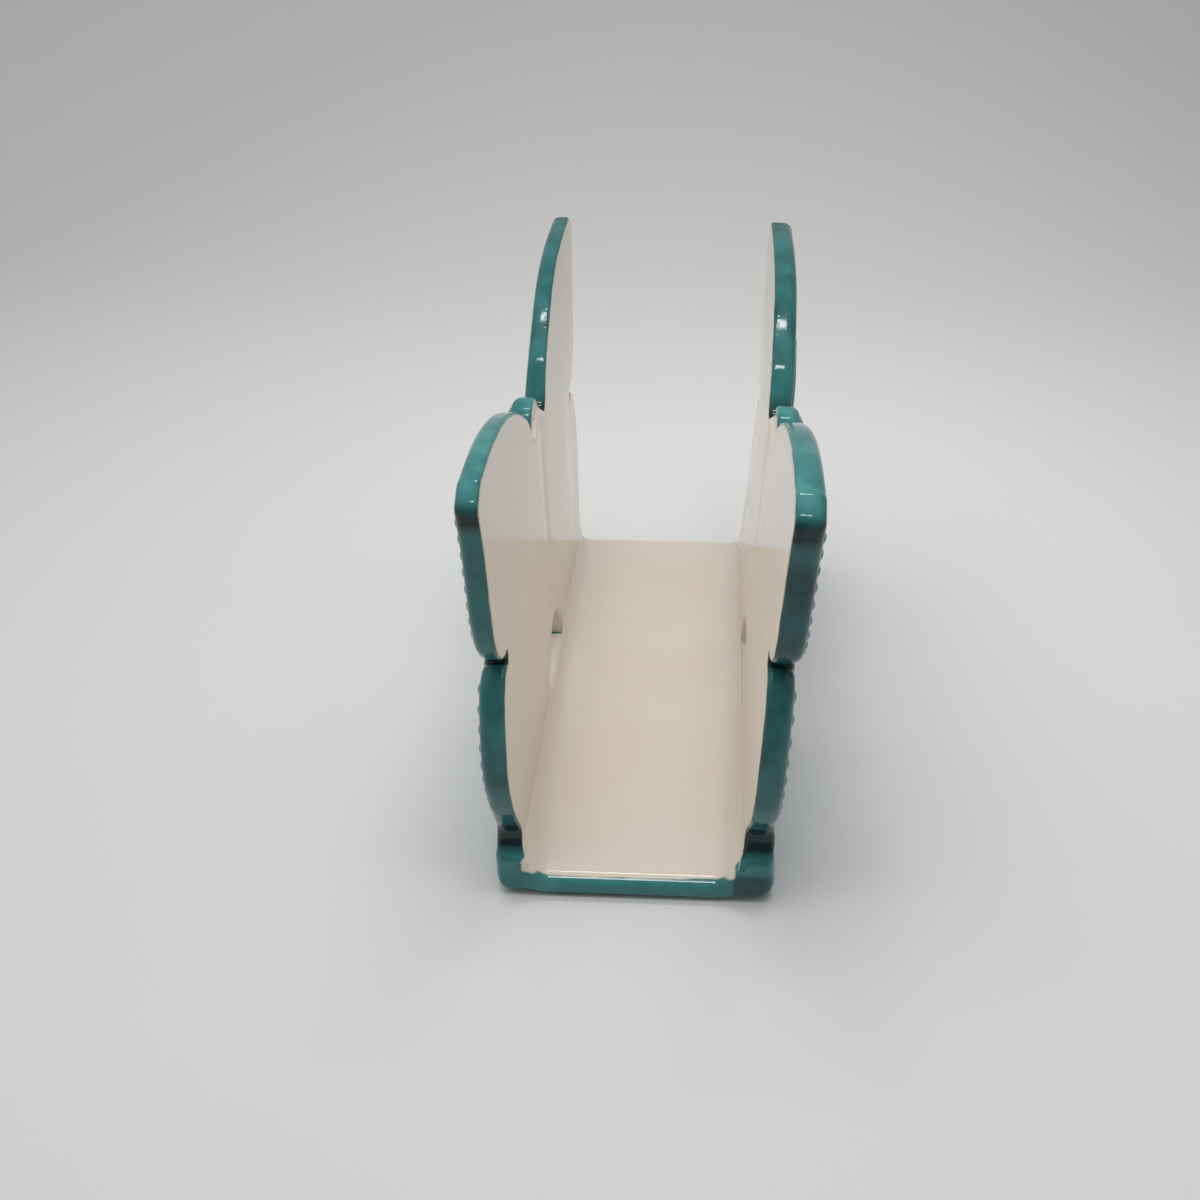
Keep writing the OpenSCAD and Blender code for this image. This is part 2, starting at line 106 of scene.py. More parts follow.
def glazed_earthenware(name):
    """Ivory glaze inside and teal glaze outside, parted where the piece's attribute says."""
    material = new_material(name)
    tree = material.node_tree
    place = add_node(tree, "ShaderNodeTexCoord").outputs["Object"]
    teal_depth = add_node(tree, "ShaderNodeAttribute", attribute_name="teal_mm").outputs["Fac"]
    pool_and_painted_light = add_node(tree, "ShaderNodeAttribute", attribute_name="pool_and_painted_light").outputs["Fac"]
    crest = add_node(tree, "ShaderNodeAttribute", attribute_name="crest").outputs["Fac"]

    # Ivory: a cream glaze with faint clouds some 25 mm wide and a few brown specks
    cloud = add_node(tree, "ShaderNodeTexNoise", [("Vector", place), ("Scale", 1 / (25 * mm)),
                     ("Detail", 2.0)]).outputs["Fac"]
    ivory = add_node(tree, "ShaderNodeMix", [("Factor", cloud), (colour_a, linear("#dfd5c6")),
                     (colour_b, linear("#e6dfd3"))], data_type="RGBA").outputs[colour_out]
    speck_cells = add_node(tree, "ShaderNodeTexVoronoi", [("Vector", place),
                           ("Scale", 1 / (9 * mm)), ("Randomness", 1.0)])
    speck_size = add_node(tree, "ShaderNodeMapRange", [
        ("Value", speck_cells.outputs["Distance"]), ("From Min", 0.030), ("From Max", 0.045),
        ("To Min", 1.0), ("To Max", 0.0)]).outputs["Result"]
    cell_value = add_node(tree, "ShaderNodeSeparateColor", [
        ("Color", speck_cells.outputs["Color"])]).outputs["Red"]
    speck_rare = add_node(tree, "ShaderNodeMath", [(0, cell_value), (1, 0.9)],
                          operation="GREATER_THAN").outputs["Value"]
    speck = add_node(tree, "ShaderNodeMath", [(0, speck_size), (1, speck_rare)],
                     operation="MULTIPLY").outputs["Value"]
    speck_soft = add_node(tree, "ShaderNodeMath", [(0, speck), (1, 0.6)],
                          operation="MULTIPLY").outputs["Value"]
    ivory = add_node(tree, "ShaderNodeMix", [("Factor", speck_soft), (colour_a, ivory),
                     (colour_b, linear("#8f7a5c"))], data_type="RGBA").outputs[colour_out]

    # Teal: brush strokes some 9 mm wide overlap, so the coat is thicker here and there
    stroke = add_node(tree, "ShaderNodeTexNoise", [("Vector", place), ("Scale", 1 / (9 * mm)),
                      ("Detail", 3.0), ("Roughness", 0.55)]).outputs["Fac"]
    thickness = add_node(tree, "ShaderNodeMath", [(0, stroke), (1, 0.6), (2, 0.18)],
                         operation="MULTIPLY_ADD").outputs["Value"]
    # The pool attribute darkens the teal where glaze gathers. It also carries painted shade in
    # shaded hollows and on rims, and painted light at the walls' feet
    thickness = add_node(tree, "ShaderNodeMath", [(0, thickness), (1, pool_and_painted_light)],
                         operation="ADD").outputs["Value"]
    thickness = add_node(tree, "ShaderNodeMath", [(0, thickness), (1, crest)],
                         operation="SUBTRACT").outputs["Value"]
    teal = add_node(tree, "ShaderNodeValToRGB", [("Fac", thickness)])
    ramp = teal.color_ramp
    ramp.elements[0].position = 0.15
    ramp.elements[0].color = linear("#69aeac")
    ramp.elements[1].position = 1.0
    ramp.elements[1].color = linear("#08292b")
    middle = ramp.elements.new(0.5)
    middle.color = linear("#39807f")

    # The border between the two follows the brush, with a waver of about 0.3 mm
    waver = add_node(tree, "ShaderNodeTexNoise", [("Vector", place), ("Scale", 1 / (5 * mm)),
                     ("Detail", 2.0)]).outputs["Fac"]
    waver = add_node(tree, "ShaderNodeMath", [(0, waver), (1, 0.5)],
                     operation="SUBTRACT").outputs["Value"]
    border = add_node(tree, "ShaderNodeMath", [(0, waver), (1, 0.6), (2, teal_depth)],
                      operation="MULTIPLY_ADD").outputs["Value"]
    teal_share = add_node(tree, "ShaderNodeMapRange", [
        ("Value", border), ("From Min", -0.15), ("From Max", 0.25)]).outputs["Result"]
    colour = add_node(tree, "ShaderNodeMix", [("Factor", teal_share), (colour_a, ivory),
                      (colour_b, teal.outputs["Color"])], data_type="RGBA").outputs[colour_out]

    # The melt leaves a faint orange peel about 1.5 mm across
    peel = add_node(tree, "ShaderNodeTexNoise", [("Vector", place), ("Scale", 1 / (1.5 * mm)),
                    ("Detail", 1.0)]).outputs["Fac"]
    peel_strength = add_node(tree, "ShaderNodeMath", [(0, teal_share), (1, 0.18), (2, 0.07)],
                             operation="MULTIPLY_ADD").outputs["Value"]
    bump = add_node(tree, "ShaderNodeBump", [("Height", peel), ("Strength", peel_strength),
                    ("Distance", 0.012 * mm)]).outputs["Normal"]
    glaze = add_node(tree, "ShaderNodeBsdfPrincipled", [
        ("Base Color", colour), ("Roughness", 0.10), ("IOR", 1.5),
        ("Specular IOR Level", 0.42), ("Normal", bump)])
    add_node(tree, "ShaderNodeOutputMaterial", [("Surface", glaze.outputs["BSDF"])])
    return material


glaze_material = glazed_earthenware("brushed_glaze_on_earthenware")


def deselect_all():
    if bpy.context.object and bpy.context.object.mode != "OBJECT":
        bpy.ops.object.mode_set(mode="OBJECT")
    bpy.ops.object.select_all(action="DESELECT")


def pick(piece):
    deselect_all()
    piece.select_set(True)
    bpy.context.view_layer.objects.active = piece


def copy_of_node(name, new_name):
    """A copy of a CAD node's mesh, with its loose triangles merged."""
    piece = bpy.data.objects.new(new_name, nodes[name].data.copy())
    bpy.context.scene.collection.objects.link(piece)
    piece.data.materials.clear()
    pick(piece)
    bpy.ops.object.mode_set(mode="EDIT")
    bpy.ops.mesh.select_all(action="SELECT")
    bpy.ops.mesh.remove_doubles(threshold=0.002 * mm)
    bpy.ops.object.mode_set(mode="OBJECT")
    return piece


def apply_modifier(piece, kind, **settings):
    pick(piece)
    modifier = piece.modifiers.new(kind.lower(), kind)
    for name, value in settings.items():
        setattr(modifier, name, value)
    bpy.ops.object.modifier_apply(modifier=modifier.name)


def points_of(piece):
    flat = np.zeros(len(piece.data.vertices) * 3)
    piece.data.vertices.foreach_get("co", flat)
    return flat.reshape(-1, 3) / mm


def set_points(piece, points):
    piece.data.vertices.foreach_set("co", (np.asarray(points) * mm).ravel())
    piece.data.update()


def set_attribute(piece, name, values):
    attribute = piece.data.attributes.new(name, "FLOAT", "POINT")
    attribute.data.foreach_set("value", np.asarray(values, np.float32))


def dress(piece, slot, *replaced):
    """Finishes a piece: smooth faces, its glaze, the body it is on and what it stands for."""
    pick(piece)
    bpy.ops.object.shade_smooth()
    piece.data.materials.clear()
    piece.data.materials.append(glaze_material)
    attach(piece, "root")
    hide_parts(*replaced)


def rise(values, low, high):
    """Smooth step from 0 at low to 1 at high."""
    share = np.clip((values - low) / (high - low), 0.0, 1.0)
    return share * share * (3 - 2 * share)


# A wall is drawn flat, in mm: w outward through the clay, y along the base and v up the wall
sides = ((1, "right"), (-1, "left"))
half_span = 82.5
wall_height = 102.4
napkin_gap = 50.0
wall_lean = math.radians(2.1)
wall_thickness = 5.5
floor_z = 9.2
cad_inner_round = 1.2
inner_round = 0.9
outer_round = 2.4
tail_gap_width = 31.0
tail_gap_top = 18.6
cad_cove_radius = 2.6
cove_radius = 5.0


def to_wall(points, side):
    """Turns points of the holder to a wall's w, y and v. Side is 1 for the right wall and -1
    for the left one."""
    x = points[:, 0] * side - napkin_gap / 2
    z = points[:, 2] - floor_z
    return np.column_stack([x * math.cos(wall_lean) - z * math.sin(wall_lean),
                            points[:, 1],
                            x * math.sin(wall_lean) + z * math.cos(wall_lean)])


def from_wall(points, side):
    """Turns a wall's w, y and v back to points of the holder."""
    x = points[:, 0] * math.cos(wall_lean) + points[:, 2] * math.sin(wall_lean)
    z = points[:, 2] * math.cos(wall_lean) - points[:, 0] * math.sin(wall_lean)
    return np.column_stack([side * (x + napkin_gap / 2), points[:, 1], z + floor_z])


def outline_of_wall(piece):
    """The wall's outline: the loop of edges at its full size, in order, anticlockwise."""
    flat = to_wall(points_of(piece), 1)
    full_size = np.abs(flat[:, 0] - cad_inner_round) < 0.02
    neighbours = {}
    for edge in piece.data.edges:
        a, b = edge.vertices
        if full_size[a] and full_size[b]:
            neighbours.setdefault(a, []).append(b)
            neighbours.setdefault(b, []).append(a)
    start = min(neighbours)
    loop, before, here = [start], None, start
    while True:
        ahead_of_here = [v for v in neighbours[here] if v != before and v not in loop[1:]]
        if not ahead_of_here or ahead_of_here[0] == start:
            break
        before, here = here, ahead_of_here[0]
        loop.append(here)
    outline = flat[loop][:, 1:]
    after = np.roll(outline, -1, axis=0)
    area = (outline[:, 0] * after[:, 1] - after[:, 0] * outline[:, 1]).sum() / 2
    return outline if area > 0 else outline[::-1]


def smooth_outline(outline, corner_degrees=32.0, spacing=0.12):
    """Fine points on a spline through the outline that keeps its sharp corners."""
    count = len(outline)
    step = np.roll(outline, -1, axis=0) - outline
    heading = np.degrees(np.arctan2(step[:, 1], step[:, 0]))
    turn = (heading - np.roll(heading, 1) + 180) % 360 - 180
    sharp = np.abs(turn) > corner_degrees
    fine = []
    for i in range(count):
        b, c = outline[i], outline[(i + 1) % count]
        a = 2 * b - c if sharp[i] else outline[i - 1]
        d = 2 * c - b if sharp[(i + 1) % count] else outline[(i + 2) % count]
        parts = max(1, int(np.linalg.norm(c - b) / spacing))
        for t in np.arange(parts) / parts:
            fine.append(0.5 * (2 * b + (c - a) * t + (2 * a - 5 * b + 4 * c - d) * t * t
                               + (3 * b - a - 3 * c + d) * t ** 3))
    return np.array(fine)


wall_copy = copy_of_node("right_wall", "right_wall_glazed")
rim = smooth_outline(outline_of_wall(wall_copy))
rim_along = np.roll(rim, -1, axis=0) - np.roll(rim, 1, axis=0)
rim_along /= np.linalg.norm(rim_along, axis=1)[:, None]
rim_inward = np.column_stack([-rim_along[:, 1], rim_along[:, 0]])
rim_tree = KDTree(len(rim))
for index, point in enumerate(rim):
    rim_tree.insert((point[0], point[1], 0.0), index)
rim_tree.balance()


def nearest_on_rim(plane):
    """For points of the wall's plane: depth inside the rim, its nearest point, way inward."""
    found = np.array([rim_tree.find((y, v, 0.0))[1] for y, v in plane])
    foot = rim[found]
    away = plane - foot
    far = np.linalg.norm(away, axis=1)
    inside = (away * rim_inward[found]).sum(axis=1)
    depth = np.where(inside < 0, -far, far)
    way = np.where((far > 0.3)[:, None] & (inside > 0)[:, None],
                   away / np.maximum(far, 1e-9)[:, None], rim_inward[found])
    return depth, foot, way


def in_tail_gap(plane, margin=1.0):
    """Whether points of the wall's plane lie in the gap under the butterfly's tail."""
    within_width = np.abs(plane[:, 0]) < tail_gap_width / 2 + margin
    return within_width & (plane[:, 1] < tail_gap_top + margin)


def round_rim(flat):
    """Moves the points of a wall onto its true section: flat faces and rounded rims."""
    w = flat[:, 0].copy()
    plane = flat[:, 1:].copy()
    depth, foot, way = nearest_on_rim(plane)
    depth = np.maximum(depth, 0.0)
    low = w < wall_thickness / 2
    radius = np.where(low, inner_round, outer_round)
    w_centre = np.where(low, inner_round, wall_thickness - outer_round)
    face = np.where(low, 0.0, wall_thickness)
    outward = np.where(low, -1.0, 1.0)
    on_face = depth >= radius
    on_side = ~on_face & ((w - w_centre) * outward <= 0)
    on_arc = ~on_face & ~on_side
    new_depth = depth.copy()
    w[on_face] = face[on_face]
    new_depth[on_side] = 0.0
    dx = depth - radius
    dw = w - w_centre
    length = np.maximum(np.hypot(dx, dw), 1e-6)
    new_depth[on_arc] = (radius + dx / length * radius)[on_arc]
    w[on_arc] = (w_centre + dw / length * radius)[on_arc]
    moved = ~on_face
    plane[moved] = (foot + way * new_depth[:, None])[moved]
    return np.column_stack([w, plane]), new_depth


wall_voxel = 0.62
apply_modifier(wall_copy, "REMESH", mode="VOXEL", voxel_size=wall_voxel * mm)
wall_flat, wall_depth = round_rim(to_wall(points_of(wall_copy), 1))
wall_w, wall_y, wall_v = wall_flat.T

# The inner face has a soft crease behind the body
crease_depth = 0.3
crease_width = 3.6
along_body = rise(wall_v, tail_gap_top - 1, tail_gap_top + 6) * (1 - rise(wall_v, 74.0, 84.0))
crease = crease_depth * np.exp(-(wall_y / crease_width) ** 2) * along_body
crease = crease * rise(wall_depth, 0.5, 3.0)
wall_w = np.where(wall_w < wall_thickness / 2, wall_w + crease, wall_w)

# Teal covers the rim from its inner edge on, and all of the outer face. The jambs of the tail
# gap are ivory, and so is more of the rim at the far notches. At the feet, below low_end_v,
# the border runs up at a slant from root_y
teal_rim = 0.6
teal_face_w = 4.2
teal_jamb_w = 4.7
root_y = 68.0
root_slant = 0.36
low_end_v = 3.9
rim_depth = np.where(wall_v < low_end_v,
                     root_y + root_slant * (wall_v - cad_cove_radius) - np.abs(wall_y), wall_depth)
teal_depth = np.maximum(wall_w - teal_face_w, teal_rim - rim_depth + 0.5 * np.maximum(wall_w, 0))
teal_depth = np.where(in_tail_gap(wall_flat[:, 1:]), wall_w - teal_jamb_w, teal_depth)
notch_y, notch_v = 64.0, 53.0
notch_ivory = 3.5
far_notch = np.exp(-((wall_y - notch_y) ** 2 + (wall_v - notch_v) ** 2) / 30.0)
teal_depth = teal_depth - notch_ivory * far_notch * (1 - rise(wall_w, 2.6, 3.4))

floor_fall = 3.7
fall_start_y = 20.0
fall_length = 94.0


def fall_of_floor(x, y):
    """Between the walls the tray's floor sinks towards the near end."""
    share = np.clip(fall_start_y - y, 0.0, fall_length) / fall_length
    return floor_fall * share ** 2 * (1 - rise(np.abs(x), 19.0, 25.5))


def cove_rise(along, radius):
    """How far a cove's curve has left the flat at a distance from where it begins."""
    along = np.clip(along, 0.0, radius - 0.1)
    return radius - np.sqrt(radius ** 2 - along ** 2)


# The wall's lowest part sinks into the curb, and its inner side follows the cove down as a
# skin just above the tray's own. The cove goes back to the plain section's at the far end
curb_sink = 2.4
skin_lift = 0.03
skin_top_v = 2.2
skin_tuck = 0.7
skin_dive = 0.2
wall_v = wall_v - curb_sink * (1 - rise(wall_v, 2.6, 6.2))
cove = cove_rise(cove_radius - wall_v, cove_radius)
cad_cove = cove_rise(cad_cove_radius - wall_v, cad_cove_radius)
cove = cove + (cad_cove - cove) * rise(wall_y, 58.0, 69.0)
dive = skin_dive * (1 - rise(wall_v, 0.9, 1.4))
on_inner_side = 1 - rise(wall_w, 0.3, 1.5)
wall_w = wall_w - np.where(wall_v < cove_radius, cove + skin_lift - dive, 0.0) * on_inner_side
on_skin = (wall_v < skin_top_v) & (on_inner_side > 0.5)
skin_y = np.abs(wall_y)
wall_w = wall_w + np.where(on_skin, skin_tuck * rise(skin_y, 65.5, 67.5), 0.0)

# The lower ends of the hindwings flare towards the tray's end and side where they were
# joined, under a small hollow
foot_flare = 4.2
foot_hollow = 0.9
foot_height = wall_v - cad_cove_radius
hollow = foot_hollow * np.exp(-((foot_height - 6.0) / 3.0) ** 2)
flare = foot_flare * np.exp(-np.maximum(foot_height, -0.5) / 2.6) - hollow
wall_y = wall_y + np.sign(wall_y) * flare * rise(np.abs(wall_y), 60.0, 68.0)
outer_foot = (1 - rise(foot_height, 2.0, 8.0)) * rise(wall_w, 1.5, 5.5)


def near_foot(y, v):
    """Share of the near hindwings' lower ends, which lean to the right and stand higher."""
    return (1 - rise(v, 7.6, 24.6)) * rise(-y, 55.0, 64.0)


# The wing tips stay a little inside the solids' box
tip_v = 102.36
tip_y = 82.49
foot = near_foot(wall_y, wall_v)
fallen = fall_of_floor(napkin_gap / 2 + wall_w, wall_y) * on_inner_side
wall_v = np.minimum(wall_v, tip_v) - dive - fallen
wall_y = np.clip(wall_y, -tip_y, tip_y)
raised_foot = foot * (1 - on_inner_side * (1 - rise(wall_v, 3.0, 8.0)))

# Where the two walls differ, as each was pressed and finished by hand: 1 is the right one
foot_lean = 0.9
foot_raise = {1: 1.5, -1: 0.0}
side_flare = {1: 1.1, -1: 0.3}
ivory_end_y = {1: 67.6, -1: 68.3}
far_wing_shift = {1: 1.3, -1: 0.8}
near_notch_raise = {1: 4.6, -1: 1.8}
# near_coat_and_shade: painted shade on the right wall's near forewing, which lies in shade, with
# glaze gathering there too
near_coat_and_shade = {1: 0.20, -1: 0.0}

# Where both depart from the plain butterfly
crown_out = 1.2
crown_drop = 1.3
crown_notch_depth = 3.2
near_notch_fill = 5.0
far_tip_in = 0.45


def as_pressed(w, y, v, side):
    """Where the hand-pressed wall departs from the plain butterfly. The crown behind the head
    is low and stands a little further out, and the notches beside it are cut deeper. The near
    notches are shallow and high. The far wings stand further out below and further in above."""
    on_crown = rise(v, 76.5, 80.0) * (1 - rise(np.abs(y), 8.0, 9.6))
    crown_notch = np.exp(-((np.abs(y) - 11.0) / 4.5) ** 2) * rise(v, 64.0, 80.0)
    near_notch = np.exp(-((y + 61.5) ** 2 + (v - 52.8) ** 2) / 31.0)
    low_share = rise(v, 4.0, 24.0) * (1 - rise(v, 42.0, 85.0))
    far_shift = far_wing_shift[side] * low_share - far_tip_in * rise(v, 70.0, 100.0)
    w = w + on_crown * (crown_out + 0.2 * rise(w, 1.5, 5.0)) + far_shift * rise(y, 40.0, 72.0)
    at_notch_height = np.exp(-((v - 54.0) / 12.0) ** 2)
    near_raise = near_notch_raise[side] * at_notch_height * rise(-y, 40.0, 60.0)
    v = v + near_raise - crown_drop * on_crown - crown_notch_depth * crown_notch
    return w, y - near_notch_fill * near_notch, v


def thickness_share(y, v, side):
    """Thickness against the plain wall's: the left wall is thinner above its notches, and
    both keep the plain thickness at the body."""
    share = np.full(len(v), 1.09) if side == 1 else 1.07 - 0.19 * rise(v, 46.0, 60.0)
    return 1 + (share - 1) * rise(np.abs(y), 9.0, 20.0)


def pool_and_painted_light_near(y, v, places):
    """Sum of soft bumps near a few places of the wall, each [y, v, reach], for glaze pools,
    painted shade and painted light.
    """
    total = np.zeros(len(y))
    for place_y, place_v, reach in places:
        total += np.exp(-(((np.abs(y) - place_y) ** 2 + (v - place_v) ** 2) / reach ** 2))
    return total


# Darker teal in the notches and beside the crown, at the feet and under the wing tips: the glaze
# pools there, and painted shade is added where those hollows and down-facing rims lie in shade.
# Just above the tray at the feet the teal is lighter, which is painted light. It is darker on the
# far wings, with painted shade low down on the hindwings and on the near wings below their tips.
wall_pool_and_painted_light = (
    # glaze pools with painted shade in the notches, at the feet and beside the crown
    0.60 * pool_and_painted_light_near(wall_y, wall_v, [(63.5, 53.0, 4.0), (68.4, 8.8, 3.6), (8.6, 78.0, 4.0)])
    # painted shade, with some glaze pooling, in the hollow above each foot
    + 0.35 * pool_and_painted_light_near(wall_y, wall_v, [(70.0, 5.6, 2.4)])
    # painted light on the feet just above the tray
    - 0.16 * pool_and_painted_light_near(wall_y, wall_v, [(72.4, 2.6, 2.0)])
    # glaze pool with painted shade under the wing tips
    + 0.65 * pool_and_painted_light_near(wall_y, wall_v, [(81.4, 96.6, 2.9)])
    + 0.20 * rise(wall_y, 5.0, 25.0)
    # painted shade low down, on the hindwings
    + 0.07 * (1 - rise(wall_v, 47.0, 53.0))
    # painted shade on the near wings below their tips
    + 0.16 * (1 - rise(wall_v, 88.0, 96.0)) * (1 - rise(wall_y, -60.0, -20.0)))
# Where the near forewing's painted shade goes
on_near_forewing = rise(wall_v, 48.0, 58.0) * (1 - rise(wall_v, 86.0, 96.0))
on_near_forewing = on_near_forewing * rise(-wall_y, 20.0, 40.0)

left_copy = bpy.data.objects.new("left_wall_glazed", wall_copy.data.copy())
bpy.context.scene.collection.objects.link(left_copy)
left_copy.data.flip_normals()
for (side, side_name), wall in zip(sides, (wall_copy, left_copy)):
    side_w = np.where(wall_w > 0, wall_w * thickness_share(wall_y, wall_v, side), wall_w)
    side_w = side_w + side_flare[side] * outer_foot
    side_y = wall_y + foot_lean * side * foot
    side_v = wall_v + foot_raise[side] * raised_foot
    pressed = as_pressed(side_w, side_y, side_v, side)
    set_points(wall, from_wall(np.column_stack(pressed), side))
    ivory_skin = on_skin & (skin_y < ivory_end_y[side])
    set_attribute(wall, "teal_mm", np.where(ivory_skin, -1.0, teal_depth))
    set_attribute(wall, "pool_and_painted_light", wall_pool_and_painted_light + near_coat_and_shade[side] * on_near_forewing)
    set_attribute(wall, "crest", np.zeros(len(wall_pool_and_painted_light)))
    dress(wall, "teal_glaze", side_name + "_wall")


# Base tray: a thick slab of earthenware that the walls stand on, joined to them by a cove on
# each side of the napkin gap. Its floor is ivory and its sides are teal.
tray = copy_of_node("base_tray", "base_tray_glazed")
tray_voxel = 0.65
tray_smoothings = 6
apply_modifier(tray, "REMESH", mode="VOXEL", voxel_size=tray_voxel * mm)
apply_modifier(tray, "SMOOTH", factor=0.5, iterations=tray_smoothings)
tray_x, tray_y, tray_z = points_of(tray).T
wall_inner_x = napkin_gap / 2 + cad_cove_radius * math.tan(wall_lean)
tray_end = 74.0
tray_side = 32.0
edge_round = 3.2

# The cove is wider than in the plain section, and the ends are rounded more tightly
lift = (cove_rise(np.abs(tray_x) - (wall_inner_x - cove_radius), cove_radius)
        - cove_rise(np.abs(tray_x) - (wall_inner_x - cad_cove_radius), cad_cove_radius))
upper = np.clip((tray_z - 1.5) / 6.5, 0.0, 1.0)
inside_wall = rise(np.abs(tray_x), wall_inner_x - 0.2, wall_inner_x + 0.4)
tray_z = tray_z + lift * upper * (1 - inside_wall) * (1 - rise(tray_y, 58.0, 70.0))
over = np.clip((np.abs(tray_y) - tray_end + edge_round) / edge_round, 0.0, 1.0)
push = (over ** 5 + (1 - over ** 2) ** 2.5) ** -0.2
tray_y = tray_y + np.sign(tray_y) * edge_round * over * (push - 1)

# Towards the near end the floor between the walls sinks and the right curb stands a little
# higher with the wall's foot. The near end is drawn in a little, and the underside of the
# slab hangs a little low along its border
border_sag = 0.5
near_draw_in = 0.6
tray_z = tray_z - fall_of_floor(tray_x, tray_y) * upper
tray_z = tray_z + foot_raise[1] * rise(tray_x, 24.8, 26.5) * rise(-tray_y, 55.0, 64.0) * upper
tray_y = tray_y + near_draw_in * rise(-tray_y, 55.0, 74.0)
to_border = np.minimum(tray_side - np.abs(tray_x), tray_end - np.abs(tray_y))
tray_z = tray_z - border_sag * (1 - rise(to_border, 2.0, 3.6)) * (1 - rise(tray_z, 1.2, 4.8))

# The teal of the ends begins on their rounding and climbs only a little way up the coves.
# The sides are teal outside the walls, apart from the sill of each tail gap
far_edge = 73.0
teal_foot_z = 3.5
at_cove = rise(np.abs(tray_x), 18.0, 24.6)
near_line = 5.2 + 2.7 * at_cove + 3.0 * (1 - rise(np.abs(tray_x), 18.5, 20.5))
near_edge = 71.65 - 0.4 * rise(tray_x, 5.0, 18.0)
near_end = np.minimum(-tray_y - near_edge, near_line - tray_z)
far_end = tray_y - far_edge
past_side = np.abs(tray_x) - wall_inner_x - 0.05
sill = (np.abs(tray_y) < tail_gap_width / 2) & (tray_z > 9.4)
past_side = np.where(sill, -1.0, past_side)
corner = np.minimum(tray_x - 23.6, -tray_y - 71.0)
tray_teal = np.maximum.reduce([near_end, far_end, past_side, corner, teal_foot_z - tray_z])

# The teal is a little lighter beside the feet of the walls, and two brush strokes overlap at one
# corner
at_foot = np.exp(-((np.abs(tray_x) - 29.0) ** 2 + (np.abs(tray_y) - 69.0) ** 2) / 16.0)
overlap = rise(tray_x, 23.4, 23.8) * rise(-tray_y, 71.8, 72.6) * (1 - rise(tray_z, 8.4, 9.2))
tray_coat, foot_lightening, overlap_coat = 0.06, 0.1, 0.34
tray_pool = tray_coat - foot_lightening * at_foot + overlap_coat * overlap

# The slab isn't quite square: its ends are askew and its right side is wider at the bottom
skew = 0.035
right_bulge = 0.9
lower = np.clip((12.0 - tray_z) / 9.0, 0, 1)
tray_y = tray_y + skew * tray_x
tray_x = tray_x + rise(tray_x, 24.0, tray_side) * (right_bulge + right_bulge * lower)
set_points(tray, np.column_stack([tray_x, tray_y, tray_z]))
set_attribute(tray, "teal_mm", tray_teal)
set_attribute(tray, "pool_and_painted_light", tray_pool)
set_attribute(tray, "crest", np.zeros(len(tray_pool)))
dress(tray, "ivory_glaze", "base_tray")


# Foot ring: the band under the tray that was wiped clean so that it didn't stick in the kiln.
# Bare fired clay is matt, pale and a little gritty.
def bare_earthenware(name):
    material = new_material(name)
    tree = material.node_tree
    place = add_node(tree, "ShaderNodeTexCoord").outputs["Object"]
    grit = add_node(tree, "ShaderNodeTexNoise", [("Vector", place), ("Scale", 1 / (0.8 * mm)),
                    ("Detail", 4.0)]).outputs["Fac"]
    colour = add_node(tree, "ShaderNodeMix", [("Factor", grit), (colour_a, linear("#cdbfa9")),
                      (colour_b, linear("#e2d7c4"))], data_type="RGBA").outputs[colour_out]
    bump = add_node(tree, "ShaderNodeBump", [("Height", grit), ("Strength", 0.5),
                    ("Distance", 0.08 * mm)]).outputs["Normal"]
    clay = add_node(tree, "ShaderNodeBsdfPrincipled", [
        ("Base Color", colour), ("Roughness", 0.85), ("Normal", bump)])
    add_node(tree, "ShaderNodeOutputMaterial", [("Surface", clay.outputs["BSDF"])])
    return material


nodes["foot_ring"].data.materials.clear()
nodes["foot_ring"].data.materials.append(bare_earthenware("bare_fired_earthenware"))


# Heads: a low round dome on each wall's outer face, in front of the crown. The mould pressed
# it with the wall, as it did all that stands in relief. Such a form is made here, where the
# first one needs it, as a skin over the wall whose foot runs into the wall softly.
relief_sink = 0.10
relief_depth = 0.9
foot_softness = 0.18
foot_pool = 0.30
all_teal = 5.0
bare_height = 0.4 * relief_sink


def softened(height):
    """Height of a form above the wall, with its sharp foot turned into a small hollow."""
    return foot_softness * np.log1p(np.exp(np.clip(height / foot_softness, -30.0, 30.0)))


def outer_face(plane):
    """Outward place of a wall's outer surface, which falls away over the rounded rim."""
    depth = np.clip(nearest_on_rim(plane)[0], 0.0, outer_round)
    drop = outer_round - np.sqrt(np.maximum(outer_round ** 2 - (outer_round - depth) ** 2, 0.0))
    return wall_thickness - drop


